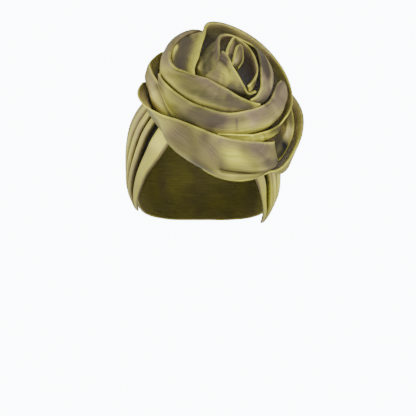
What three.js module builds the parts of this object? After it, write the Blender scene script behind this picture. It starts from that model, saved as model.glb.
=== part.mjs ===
// A tied gele head tie: a close cap, two pleated wraps that cross at the front, and a rose rolled from folded bands.
// Millimetres, +Z up. The front opening and the rose look along -Y, and +X is on the right as seen from the front.
// The origin is the middle of the hollow, at the level where the cap grips.
import * as THREE from 'three';

// Driving dimensions.
// The hollow that the cap is sewn round is a rounded box: half its width, length and height, and how square it is.
const HOLLOW = { halfWidth: 71, halfLength: 91, halfHeight: 78, squareness: 2.35, centreZ: 8 };
const CAP_CLOTH = 1.6;
const WRAP_CLOTH = 1.8;
const PETAL_CLOTH = 1.8;
const GAP = 0.5;

// The rose sits over the front opening: the middle of its foot, and the way that its axis points.
const ROSE_CENTRE = new THREE.Vector3(12.4, -86, 58);
const ROSE_RISE = 32;
const ROSE_TURN = 16;

const CLOTH_COLOUR = 0x9a8d4c;
const cloth = new THREE.MeshStandardMaterial({
  name: 'shot_taffeta', color: CLOTH_COLOUR, roughness: 0.42, metalness: 0.15, side: THREE.DoubleSide,
});

// Rows of numbers as objects with the columns' names.
const table = (columns, rows) =>
  rows.map((row) => Object.fromEntries(columns.map((name, k) => [name, row[k]])));

// A smooth line through one column's values, at knots that may be unevenly spaced.
function smooth(knots, values, at) {
  const last = knots.length - 1;
  let k = 0;
  while (k < last - 1 && at > knots[k + 1]) k += 1;
  const slope = (i) => {
    const before = Math.max(i - 1, 0);
    const after = Math.min(i + 1, last);
    return (values[after] - values[before]) / (knots[after] - knots[before]);
  };
  const span = knots[k + 1] - knots[k];
  const x = (at - knots[k]) / span;
  const [x2, x3] = [x * x, x * x * x];
  return (2 * x3 - 3 * x2 + 1) * values[k] + (x3 - 2 * x2 + x) * span * slope(k)
    + (3 * x2 - 2 * x3) * values[k + 1] + (x3 - x2) * span * slope(k + 1);
}

// One row of a table, worked out between its rows.
function rowAt(rows, knots, at) {
  const names = Object.keys(rows[0]);
  return Object.fromEntries(names.map((name) => [name, smooth(knots, rows.map((r) => r[name]), at)]));
}

// A wall of cloth as a closed solid: a grid of points on its middle surface, given half its thickness to each side.
// A ring closes on itself along the grid, and a crown starts from one point.
function wall(pointAt, steps, rows, thickness, { ring = false, crown = false } = {}) {
  const columns = ring ? steps : steps + 1;
  const middle = [];
  const at = (i, j) => {
    if (crown) return j === 0 ? 0 : 1 + (j - 1) * columns + (i % columns);
    return j * columns + (i % columns);
  };
  for (let j = 0; j <= rows; j += 1) {
    const count = crown && j === 0 ? 1 : columns;
    for (let i = 0; i < count; i += 1) middle.push(pointAt(i / steps, j / rows));
  }
  const faces = [];
  const addFace = (a, b, c) => {
    if (a !== b && b !== c && c !== a) faces.push([a, b, c]);
  };
  for (let j = 0; j < rows; j += 1) {
    for (let i = 0; i < steps; i += 1) {
      const [a, b, c, d] = [at(i, j), at(i + 1, j), at(i + 1, j + 1), at(i, j + 1)];
      addFace(a, b, c);
      addFace(a, c, d);
    }
  }
  const normals = middle.map(() => new THREE.Vector3());
  for (const face of faces) {
    const [a, b, c] = face.map((k) => middle[k]);
    const across = new THREE.Vector3().subVectors(b, a).cross(new THREE.Vector3().subVectors(c, a));
    face.forEach((k) => normals[k].add(across));
  }
  normals.forEach((n) => n.normalize());

  const count = middle.length;
  const positions = [];
  for (const side of [0.5, -0.5]) {
    middle.forEach((p, k) => positions.push(...p.clone().addScaledVector(normals[k], side * thickness)));
  }
  const index = [];
  for (const [a, b, c] of faces) index.push(a, b, c, a + count, c + count, b + count);
  const edges = new Map();
  for (const [a, b, c] of faces) {
    for (const [from, to] of [[a, b], [b, c], [c, a]]) {
      const back = `${to},${from}`;
      if (edges.has(back)) edges.delete(back);
      else edges.set(`${from},${to}`, [from, to]);
    }
  }
  for (const [from, to] of edges.values()) {
    index.push(from, from + count, to + count, from, to + count, to);
  }
  const geometry = new THREE.BufferGeometry();
  geometry.setAttribute('position', new THREE.Float32BufferAttribute(positions, 3));
  geometry.setIndex(index);
  return geometry;
}

// The hollow's surface, grown outwards, in a direction from the hollow's centre.
function overHollow(direction, grow) {
  const n = HOLLOW.squareness;
  const sum = Math.abs(direction.x / (HOLLOW.halfWidth + grow)) ** n
    + Math.abs(direction.y / (HOLLOW.halfLength + grow)) ** n
    + Math.abs(direction.z / (HOLLOW.halfHeight + grow)) ** n;
  const point = direction.clone().multiplyScalar(sum ** (-1 / n));
  point.z += HOLLOW.centreZ;
  return point;
}

// A direction from its turn away from the front and its lift above the level, in degrees.
function direction(turn, lift) {
  const [t, l] = [turn, lift].map(THREE.MathUtils.degToRad);
  return new THREE.Vector3(Math.sin(t) * Math.cos(l), -Math.cos(t) * Math.cos(l), Math.sin(l));
}

// The cap: a dome from the crown down to a rim that lies just inside the wraps' edge and runs level round the back.
const CAP_RIM = table(['turn', 'lift'], [
  [0, 40], [12, 26], [25, 12], [36, 1], [46, -9], [58, -19], [72, -28], [90, -35], [120, -38], [180, -38],
]);
const CAP_MIDDLE = CAP_CLOTH / 2;

function capPoint(round, down) {
  const turn = round * 360;
  const rim = rowAt(CAP_RIM, CAP_RIM.map((r) => r.turn), turn > 180 ? 360 - turn : turn);
  return overHollow(direction(turn, 90 - down * (90 - rim.lift)), CAP_MIDDLE);
}
const CAP_STEPS = 40;
const CAP_ROWS = 12;

// The wraps: three lines of the cloth over the cap, from its tip low at the side up to the middle of the front.
// They are the front edge, the deep fold behind the front band, and the back edge.
const WRAP_LINES = table(['frontTurn', 'frontLift', 'foldTurn', 'foldLift', 'backTurn', 'backLift'], [
  [79, -36, 81.5, -35, 101, -31],
  [66, -31, 69, -29, 101, -19],
  [55, -24.4, 60, -20, 100, -8],
  [44.4, -15.5, 53, -10, 99, 8],
  [35.7, -6.4, 46.5, -1, 97, 24],
  [26.8, 2, 41, 8, 95, 40],
  [21.3, 8.9, 36, 17, 92, 54],
  [10, 22, 24, 33, 84, 68],
  [0, 32.6, 6, 46, 50, 80],
  [-10, 40, -12, 54, -50, 84],
]);
// The cloth across a wrap: where each fold stands, and how high its cloth is over the cap.
// Up to place 1 it is the front band, and from 1 to 2 it is the narrow pleats that follow.
const WRAP_FOLDS = table(['place', 'rise'], [
  [0, 1.6], [0.12, 2.2], [0.72, 2.4], [0.94, 0.4], [1.02, 0.2],
  [1.07, 3.6], [1.13, 4], [1.27, 0.9], [1.32, 3.2], [1.38, 3.4],
  [1.54, 0.7], [1.59, 2.7], [1.65, 2.8], [1.84, 0.4], [2, 0.2],
]);
const WRAP_STEPS = 20;
// One wrap crosses over the other at the front, and the one below is tied a little lower down its side.
const FRONT_TO_BACK = new THREE.Vector3(0, 1, 0);
const CROSS_LIFT = 3;
const LOW_SIDE_ROLL = 10;
const WRAP_FROM_CAP = CAP_CLOTH + GAP + WRAP_CLOTH / 2;

function wrapPoint(along, across, { side, crossLift, roll }) {
  const knots = WRAP_LINES.map((_, k) => k / (WRAP_LINES.length - 1));
  const line = rowAt(WRAP_LINES, knots, along);
  const fold = WRAP_FOLDS[Math.round(across * (WRAP_FOLDS.length - 1))];
  const [from, to] = fold.place < 1 ? ['front', 'fold'] : ['fold', 'back'];
  const share = fold.place < 1 ? fold.place : fold.place - 1;
  const start = direction(line[`${from}Turn`], line[`${from}Lift`]);
  const end = direction(line[`${to}Turn`], line[`${to}Lift`]);
  const aim = start.lerp(end, share).normalize();
  aim.x *= side;
  aim.applyAxisAngle(FRONT_TO_BACK, THREE.MathUtils.degToRad(roll));
  const pulledFlat = 1 - 0.7 * THREE.MathUtils.smoothstep(along, 0.68, 0.86);
  const gathered = Math.min(1, along * 3 + 0.25);
  const lift = crossLift * THREE.MathUtils.smoothstep(along, 0.68, 0.86);
  return overHollow(aim, WRAP_FROM_CAP + fold.rise * gathered * pulledFlat + lift);
}

// The rose's own frame: across to the right, up along its face, and out along its axis.
const rise = THREE.MathUtils.degToRad(ROSE_RISE);
const turnAway = THREE.MathUtils.degToRad(ROSE_TURN);
const roseOut = new THREE.Vector3(
  Math.cos(rise) * Math.sin(turnAway), -Math.cos(rise) * Math.cos(turnAway), Math.sin(rise),
);
const roseAcross = new THREE.Vector3(0, 0, 1).cross(roseOut).normalize();
const roseUp = new THREE.Vector3().crossVectors(roseOut, roseAcross);

// A point of the rose, from its turn about the axis, its distance from it, and its height out along it.
function onRose(turn, radius, height) {
  const t = THREE.MathUtils.degToRad(turn);
  return ROSE_CENTRE.clone()
    .addScaledVector(roseAcross, radius * Math.cos(t))
    .addScaledVector(roseUp, radius * Math.sin(t))
    .addScaledVector(roseOut, height);
}

// How far out along the axis a band's foot is, so that it stands just clear of the wraps.
const FOOT_CLEAR = 9.5;
function footHeight(turn, radius) {
  let [inside, outside] = [-70, 40];
  for (let k = 0; k < 24; k += 1) {
    const height = (inside + outside) / 2;
    const aim = onRose(turn, radius, height);
    aim.z -= HOLLOW.centreZ;
    const skin = overHollow(aim, FOOT_CLEAR);
    skin.z -= HOLLOW.centreZ;
    if (aim.length() > skin.length()) outside = height;
    else inside = height;
  }
  return outside;
}

// A petal is a folded band. Each row is a section through it at a turn about the rose's axis:
// the rim is its folded edge, the belly is where its face bends, and the foot is where it is sewn down to the cap.
const SECTION = ['turn', 'rim', 'rimOut', 'belly', 'bellyOut', 'foot'];
const PETALS = {
  petal_outer_right: { steps: 22, rows: table(SECTION, [
    [-108, 71, -5, 67, -10, 57],
    [-97, 79, 0, 74, -7, 58],
    [-78, 84.5, 3, 78, -6, 58],
    [-63, 84.5, 5, 82, -5, 59],
    [-53, 85, 7, 89, -4, 60],
    [-40, 84, 12, 84, 1, 61],
    [-27, 83.4, 14, 80, 3, 62],
    [-8, 81, 14, 74, 3, 62],
    [8, 74, 14, 67, 4, 60],
    [28, 63, 11, 59, 4, 57],
  ]) },
  petal_right_tuck: { steps: 10, rows: table(SECTION, [
    [-40, 75, 1, 67, 2, 54],
    [-34, 77, 5, 68, 6, 55],
    [-27, 77, 8, 68, 10, 56],
    [-15, 73.5, 12, 66, 11, 57],
    [-2, 69.5, 13, 64, 9, 57],
    [10, 65, 10, 60, 5, 55],
  ]) },
  petal_outer_front: { steps: 30, rows: table(SECTION, [
    [161, 71.5, 6, 68.5, 0, 61],
    [168, 76.5, 18, 72, 8, 61],
    [179, 81, 22, 74, 11, 58],
    [190, 79, 26, 73, 14, 55],
    [202, 71, 30, 69, 11, 53],
    [215, 61, 32, 68.5, 9, 52],
    [235, 55, 34, 70, 8, 53],
    [250, 54.5, 34, 75, 9, 53],
    [262, 55, 33, 80, 10, 53],
    [275, 56.5, 32, 80.5, 12, 53],
    [290, 60, 30, 86, 15, 53],
    [301, 64.5, 27, 90, 16, 53],
    [308, 67, 24, 86, 11, 52],
    [314, 64, 18, 74, 4, 52],
  ]) },
  petal_left: { steps: 18, rows: table(SECTION, [
    [132, 69, 20, 67, 13, 57],
    [140, 70, 28, 69, 19, 56],
    [152, 72.5, 31.5, 72, 24, 55],
    [158, 73, 33, 74, 26, 54],
    [166, 70, 34, 74, 24, 53],
    [174, 66, 31.5, 71, 21, 52],
    [186, 62.5, 29, 68, 17, 52],
    [198, 60.5, 25, 64, 14, 50],
    [206, 60.5, 22, 62, 12, 49],
  ]) },
  petal_back: { steps: 38, rows: table(SECTION, [
    [186, 27, 40, 40, 33, 28],
    [158, 32.4, 45, 50, 37, 36],
    [131, 36.2, 46, 56, 37, 42],
    [108, 50.2, 45, 60, 35, 48],
    [97, 68.5, 42, 63, 30, 52],
    [89, 71, 41, 63, 26, 53],
    [70, 69, 39, 62, 22, 53],
    [41, 67, 34, 60, 20, 52],
    [15, 67.5, 29, 60, 16, 50],
    [-10, 66.5, 28, 60, 14, 51],
    [-30, 62.5, 29, 58, 14, 50],
    [-63, 54.5, 32, 54, 16, 48],
    [-90, 51.5, 33.5, 53, 18, 48],
    [-106, 51, 31, 52, 17, 47],
  ]) },
  petal_middle_front: { steps: 30, rows: table(SECTION, [
    [170, 64.5, 41, 64.5, 37, 48],
    [178, 62.3, 43.5, 64, 37, 47.5],
    [186, 58, 44.5, 62, 36, 46.5],
    [198, 51, 44.5, 60, 33, 44],
    [212, 44.5, 44, 57, 31, 42.5],
    [232, 38, 44, 52, 31, 42],
    [262, 35.5, 44, 48, 31, 42],
    [289, 36.5, 44, 48.5, 32, 42],
    [312, 39.5, 42.5, 53, 31, 42],
    [331, 43.5, 41, 57, 30, 43],
    [352, 46.5, 39, 61, 30, 44],
    [363, 50, 38, 62, 30, 44],
    [369, 56, 36.5, 61, 31, 43],
  ]) },
  petal_inner_front: { steps: 34, rows: table(SECTION, [
    [97, 69, 31, 69, 26, 56],
    [104, 67.5, 36, 69, 30, 55.5],
    [114, 65.2, 41, 69.5, 33, 54],
    [131, 62.5, 45, 68.5, 35, 51],
    [147, 60, 48, 66.5, 37, 48],
    [160, 57, 50.5, 64, 38, 46],
    [170, 50, 52, 62, 39, 44],
    [176, 38, 53, 59.5, 40, 43],
    [192, 21, 54, 50, 41.5, 40],
    [230, 15.5, 54.5, 34.5, 43, 34],
    [262, 17, 54, 32, 43.5, 31],
    [290, 25, 52.5, 33, 43.5, 31],
    [305, 33, 50.5, 35.5, 43, 31],
    [314, 38, 48, 37, 42, 32],
  ]) },
  petal_heart_wrap: { steps: 42, rows: table(SECTION, [
    [308, 22, 54, 22, 48, 10],
    [298, 17, 57, 18.5, 49, 10],
    [265, 3, 60, 13.5, 50, 9],
    [230, -5, 60, 12.5, 49, 9],
    [190, 2, 58.5, 16, 47, 10],
    [155, 10, 57, 25, 43, 15],
    [128, 17, 55, 32, 41, 20],
    [108, 29, 53, 38, 39, 27],
    [97, 42, 51, 45, 39, 31],
    [90, 50, 49, 50.5, 41, 34],
    [80, 50.5, 50, 52.5, 43, 36],
    [66, 48.5, 50.5, 52, 44.5, 37],
    [48, 46.5, 50.5, 52.8, 44, 37],
    [32, 40, 51, 51, 43.5, 37],
    [16, 35, 51, 48.5, 43, 36],
    [0, 33, 50.5, 44.5, 42.5, 35],
    [-17, 32.6, 50, 40.8, 42, 33],
    [-38, 31, 49.5, 35, 42, 29],
    [-53, 28, 48.5, 31, 41, 26],
  ]) },
  heart_ring: { steps: 22, rows: table(SECTION, [
    [92, 21, 55, 20, 44, 14],
    [87, 31, 54.5, 29, 42, 16],
    [80, 42, 53.5, 37, 41, 19],
    [73, 46, 53, 39, 40, 21],
    [61, 43.5, 54, 38, 40, 23],
    [45, 37.5, 54.5, 34, 41, 23],
    [30, 32.5, 54.5, 31, 41, 22],
    [14, 28.5, 54.5, 29, 42, 21],
    [-12, 22, 54.5, 25, 43, 19],
    [-36, 18.5, 54, 22, 43, 18],
  ]) },
  heart_fold: { steps: 8, rows: table(SECTION, [
    [80, 27, 57, 14, 48, 6],
    [70, 34, 59, 16, 50, 6],
    [58, 33, 59.5, 16, 51, 6],
    [46, 24, 58, 14, 50, 6],
    [38, 17, 55, 12, 47, 6],
  ]) },
};
const PETAL_ROWS = 6;

// A line from the foot over the belly to the rim, smooth through all three.
function sectionPoint(row, up) {
  const foot = [row.foot, footHeight(row.turn, row.foot)];
  const belly = [row.belly, row.bellyOut];
  const rim = [row.rim, row.rimOut];
  const low = Math.hypot(belly[0] - foot[0], belly[1] - foot[1]);
  const high = Math.hypot(rim[0] - belly[0], rim[1] - belly[1]);
  const knots = [0, low, low + high];
  const [radius, height] = [0, 1].map(
    (k) => smooth(knots, [foot[k], belly[k], rim[k]], up * (low + high)),
  );
  return onRose(row.turn, radius, height);
}

function petal({ rows, steps }) {
  const knots = [0];
  for (let k = 1; k < rows.length; k += 1) {
    const [a, b] = [rows[k - 1], rows[k]].map((r) => onRose(r.turn, r.rim, r.rimOut));
    knots.push(knots[k - 1] + a.distanceTo(b));
  }
  const length = knots[knots.length - 1];
  const pointAt = (along, up) => sectionPoint(rowAt(rows, knots, along * length), up);
  return wall(pointAt, steps, PETAL_ROWS, PETAL_CLOTH);
}

const headTie = new THREE.Group();
function add(name, geometry) {
  geometry.computeVertexNormals();
  const mesh = new THREE.Mesh(geometry, cloth.clone());
  mesh.name = name;
  headTie.add(mesh);
}

add('cap', wall(capPoint, CAP_STEPS, CAP_ROWS, CAP_CLOTH, { ring: true, crown: true }));
const WRAPS = {
  wrap_left: { side: -1, crossLift: CROSS_LIFT, roll: 0 },
  wrap_right: { side: 1, crossLift: 0, roll: LOW_SIDE_ROLL },
};
for (const [name, way] of Object.entries(WRAPS)) {
  const pointAt = (along, across) => wrapPoint(along, across, way);
  add(name, wall(pointAt, WRAP_STEPS, WRAP_FOLDS.length - 1, WRAP_CLOTH));
}
for (const [name, shape] of Object.entries(PETALS)) add(name, petal(shape));

export default headTie;
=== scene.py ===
import bpy
import numpy as np
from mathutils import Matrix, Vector


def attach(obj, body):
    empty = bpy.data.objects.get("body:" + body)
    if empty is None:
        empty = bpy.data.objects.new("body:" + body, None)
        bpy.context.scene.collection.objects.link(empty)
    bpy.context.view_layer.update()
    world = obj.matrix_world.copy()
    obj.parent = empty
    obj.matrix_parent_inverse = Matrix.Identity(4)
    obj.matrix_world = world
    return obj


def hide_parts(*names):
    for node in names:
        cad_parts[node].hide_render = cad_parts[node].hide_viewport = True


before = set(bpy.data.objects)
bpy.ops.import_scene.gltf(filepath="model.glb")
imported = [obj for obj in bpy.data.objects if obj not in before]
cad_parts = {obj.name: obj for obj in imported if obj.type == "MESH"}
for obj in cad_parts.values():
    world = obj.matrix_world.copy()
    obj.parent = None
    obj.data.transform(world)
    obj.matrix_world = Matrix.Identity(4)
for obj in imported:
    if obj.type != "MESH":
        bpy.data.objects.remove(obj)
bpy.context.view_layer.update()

# The cap: a close hollow dome of shot taffeta, sewn from the crown down to a level rim at the back.
# All the other cloth is stitched to it. Its rim is turned in as a soft hem, and light gathers run down it.
MM = 0.001
HOLLOW_HALF = np.array([71.0, 91.0, 78.0])
HOLLOW_MIDDLE = np.array([0.0, 0.0, 8.0])
HOLLOW_SQUARENESS = 2.35
CAP_CLOTH = 1.6
HEM_STEPS = 8
CAP_TURNS, CAP_ROWS = 200, 70
CAP_DEEP, CAP_MM_PER_DEGREE = 190, 1.5
# The cap's inside gets painted shade: its colour is scaled down to this share.
CAP_WEFT, CAP_INSIDE_PAINTED_LIGHT = 0.42, 0.7
CAP_RIM = [  # turn from the front, lift above the level, in degrees
    (0, 40), (12, 26), (25, 12), (36, 1), (46, -9), (58, -19), (72, -28), (90, -35), (120, -38), (180, -38),
]


def smooth_line(knots, values, at):
    """A smooth line through rows of values, at knots that may be unevenly spaced."""
    knots, values = np.asarray(knots, float), np.asarray(values, float)
    rows = np.arange(len(knots))
    before, after = np.maximum(rows - 1, 0), np.minimum(rows + 1, len(knots) - 1)
    slopes = (values[after] - values[before]) / (knots[after] - knots[before])[:, None]
    k = np.clip(np.searchsorted(knots, at) - 1, 0, len(knots) - 2)
    span = (knots[k + 1] - knots[k])[:, None]
    x = (np.asarray(at) - knots[k])[:, None] / span
    return (
        (2 * x**3 - 3 * x**2 + 1) * values[k]
        + (x**3 - 2 * x**2 + x) * span * slopes[k]
        + (3 * x**2 - 2 * x**3) * values[k + 1]
        + (x**3 - x**2) * span * slopes[k + 1]
    )


def ease(x, start, end):
    """0 before start, 1 after end, and a soft step between them."""
    s = np.clip((x - start) / (end - start), 0, 1)
    return s * s * (3 - 2 * s)


def aim_at(turn, lift):
    """The direction with a turn from the front and a lift above the level, in degrees."""
    t, l = np.radians(turn), np.radians(lift)
    return np.stack([np.sin(t) * np.cos(l), -np.cos(t) * np.cos(l), np.sin(l)], -1)


def over_hollow(aim, clear):
    """The point in that direction that is so many mm clear of the hollow."""
    half = HOLLOW_HALF + np.asarray(clear)[..., None]
    reach = (np.abs(aim / half) ** HOLLOW_SQUARENESS).sum(-1) ** (-1 / HOLLOW_SQUARENESS)
    return aim * reach[..., None] + HOLLOW_MIDDLE


def ripple(along, across, seed, size):
    """A few long soft waves in the cloth, about 1 high, the same on every run."""
    waves = 7
    draw = np.random.default_rng(seed)
    wave = np.zeros(np.broadcast(along, across).shape)
    for _ in range(waves):
        pitch = size * draw.uniform(0.6, 1.8)
        heading, phase = draw.uniform(-0.6, 0.6), draw.uniform(0, 6.28)
        wave += np.sin(6.28 * (along * np.cos(heading) + across * np.sin(heading)) / pitch + phase)
    return wave / (waves / 2)


def facing(grid):
    """Unit directions square to a grid of points."""
    square = np.cross(np.gradient(grid, axis=0), np.gradient(grid, axis=1))
    return square / np.maximum(np.linalg.norm(square, axis=-1, keepdims=True), 1e-9)


def mesh_piece(name, points, faces, cloth_at, shade):
    """A watertight cloth piece from points in mm, its place on the bolt, its weft and its painted shade: open, deep.
    """
    mesh = bpy.data.meshes.new(name)
    mesh.from_pydata((points * MM).tolist(), [], faces)
    mesh.validate()
    layer = mesh.uv_layers.new(name="on_the_bolt")
    corner = np.empty(len(mesh.loops), int)
    mesh.loops.foreach_get("vertex_index", corner)
    layer.data.foreach_set("uv", (cloth_at[corner] * MM).astype(np.float32).ravel())
    # Besides the weft, two painted attributes: open is painted light and shade, deep is painted shade in folds.
    for layer_name, values in zip(("weft", "open", "deep"), shade.T):
        mesh.attributes.new(layer_name, "FLOAT", "POINT").data.foreach_set("value", values.astype(np.float32))
    mesh.polygons.foreach_set("use_smooth", [True] * len(mesh.polygons))
    piece = bpy.data.objects.new(name, mesh)
    bpy.context.scene.collection.objects.link(piece)
    return piece


def shade_of(weft, painted_light, deep):
    """The share of weft, the painted light and shade, and the painted shade of deep folds, at each point."""
    return np.stack(np.broadcast_arrays(weft, painted_light, deep), -1)


def cloth_wall(name, middle, out, half, hem, cloth_at, shade_out, shade_in, ring=False):
    """A wall of cloth about its middle surface, from an open foot (first row) up to a rounded hem (last row)."""
    arc = np.linspace(0, np.pi, HEM_STEPS + 1)
    rise = middle[:, -1] - middle[:, -2]
    rise = rise / np.linalg.norm(rise, axis=-1, keepdims=True)
    round_hem = [
        middle[:, -1] + out[:, -1] * hem[:, None] * np.cos(a) + rise * hem[:, None] * np.sin(a) for a in arc[1:-1]
    ]
    loop = np.concatenate(
        [middle + out * half[..., None], np.stack(round_hem, 1), (middle - out * half[..., None])[:, ::-1]], 1
    )
    end = np.repeat(cloth_at[:, -1:], len(round_hem), 1)
    cloth = np.concatenate([cloth_at, end, cloth_at[:, ::-1]], 1)
    shade = np.concatenate([shade_out, np.repeat(shade_out[:, -1:], len(round_hem), 1), shade_in[:, ::-1]], 1)
    columns, around = loop.shape[:2]
    faces = []
    for i in range(columns if ring else columns - 1):
        a, b = i * around, ((i + 1) % columns) * around
        faces += [(a + j, b + j, b + (j + 1) % around, a + (j + 1) % around) for j in range(around - ring)]
    if ring:
        faces += [tuple(range(k, columns * around, around)) for k in (0, around - 1)]
    else:
        for start, flip in ((0, False), ((columns - 1) * around, True)):
            for j in range(around // 2):
                quad = (start + j, start + j + 1, start + around - 2 - j, start + around - 1 - j)
                quad = tuple(dict.fromkeys(quad))
                if len(quad) > 2:
                    faces.append(quad[::-1] if flip else quad)
    piece = mesh_piece(name, loop.reshape(-1, 3), faces, cloth.reshape(-1, 2), shade.reshape(-1, 3))
    bpy.ops.object.select_all(action="DESELECT")
    bpy.context.view_layer.objects.active = piece
    piece.select_set(True)
    bpy.ops.object.mode_set(mode="EDIT")
    bpy.ops.mesh.select_all(action="SELECT")
    bpy.ops.mesh.normals_make_consistent(inside=False)
    bpy.ops.object.mode_set(mode="OBJECT")
    piece.select_set(False)
    return piece


SLUB_STREAKS = [  # how much finer the noise is along, across and through the cloth, and its share
    ((45, 900, 1), 0.6),
    ((110, 2600, 1), 0.4),
]


def slub_group():
    """Uneven threads: long thin streaks along the weft, as brightness and as height."""
    group = bpy.data.node_groups.new("slub", "ShaderNodeTree")
    group.interface.new_socket("Cloth", in_out="INPUT", socket_type="NodeSocketVector")
    group.interface.new_socket("Streak", in_out="OUTPUT", socket_type="NodeSocketFloat")
    nodes, link = group.nodes, group.links.new
    enter, leave = nodes.new("NodeGroupInput"), nodes.new("NodeGroupOutput")
    total = None
    for stretch, share in SLUB_STREAKS:
        spread = nodes.new("ShaderNodeMapping")
        spread.inputs["Scale"].default_value = stretch
        noise = nodes.new("ShaderNodeTexNoise")
        noise.inputs["Scale"].default_value = 1
        noise.inputs["Detail"].default_value = 3
        weigh = nodes.new("ShaderNodeMath")
        weigh.operation = "MULTIPLY"
        weigh.inputs[1].default_value = share
        link(enter.outputs["Cloth"], spread.inputs["Vector"])
        link(spread.outputs["Vector"], noise.inputs["Vector"])
        link(noise.outputs["Fac"], weigh.inputs[0])
        if total is None:
            total = weigh.outputs[0]
        else:
            add = nodes.new("ShaderNodeMath")
            link(total, add.inputs[0])
            link(weigh.outputs[0], add.inputs[1])
            total = add.outputs[0]
    link(total, leave.inputs["Streak"])
    return group


def weave_group():
    """Plain weave: fine ribs both ways, as height."""
    group = bpy.data.node_groups.new("plain_weave", "ShaderNodeTree")
    group.interface.new_socket("Cloth", in_out="INPUT", socket_type="NodeSocketVector")
    group.interface.new_socket("Threads per metre", in_out="INPUT", socket_type="NodeSocketFloat")
    group.interface.new_socket("Height", in_out="OUTPUT", socket_type="NodeSocketFloat")
    nodes, link = group.nodes, group.links.new
    enter, leave = nodes.new("NodeGroupInput"), nodes.new("NodeGroupOutput")
    part = nodes.new("ShaderNodeSeparateXYZ")
    link(enter.outputs["Cloth"], part.inputs[0])
    ribs = []
    for axis in ("X", "Y"):
        turns = nodes.new("ShaderNodeMath")
        turns.operation = "MULTIPLY"
        link(part.outputs[axis], turns.inputs[0])
        link(enter.outputs["Threads per metre"], turns.inputs[1])
        angle = nodes.new("ShaderNodeMath")
        angle.operation = "MULTIPLY"
        angle.inputs[1].default_value = 2 * np.pi
        wave = nodes.new("ShaderNodeMath")
        wave.operation = "SINE"
        link(turns.outputs[0], angle.inputs[0])
        link(angle.outputs[0], wave.inputs[0])
        ribs.append(wave.outputs[0])
    cross = nodes.new("ShaderNodeMath")
    cross.operation = "MULTIPLY"
    link(ribs[0], cross.inputs[0])
    link(ribs[1], cross.inputs[1])
    link(cross.outputs[0], leave.inputs["Height"])
    return group


def map_range(tree, value, low, high, to_low, to_high):
    """The value, moved from one range to another."""
    node = tree.nodes.new("ShaderNodeMapRange")
    for label, number in zip(("From Min", "From Max", "To Min", "To Max"), (low, high, to_low, to_high)):
        node.inputs[label].default_value = number
    tree.links.new(value, node.inputs["Value"])
    return node.outputs["Result"]


WARP_GOLD = (0.308, 0.283, 0.043, 1)
WEFT_BROWN = (0.17, 0.127, 0.073, 1)
SHEEN_TINT = (0.64, 0.53, 0.4, 1)
# Painted shade: the grey added to the colour where the painted light is low and deep in folds.
PAINTED_SHADE_GREY = (1, 0.93, 0.95)
SHADE_GREY_WHERE_DARK, SHADE_GREY_IN_FOLDS = 0.014, 0.3
THREADS_PER_METRE = 1600
PATCHES_PER_METRE = 38


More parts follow.
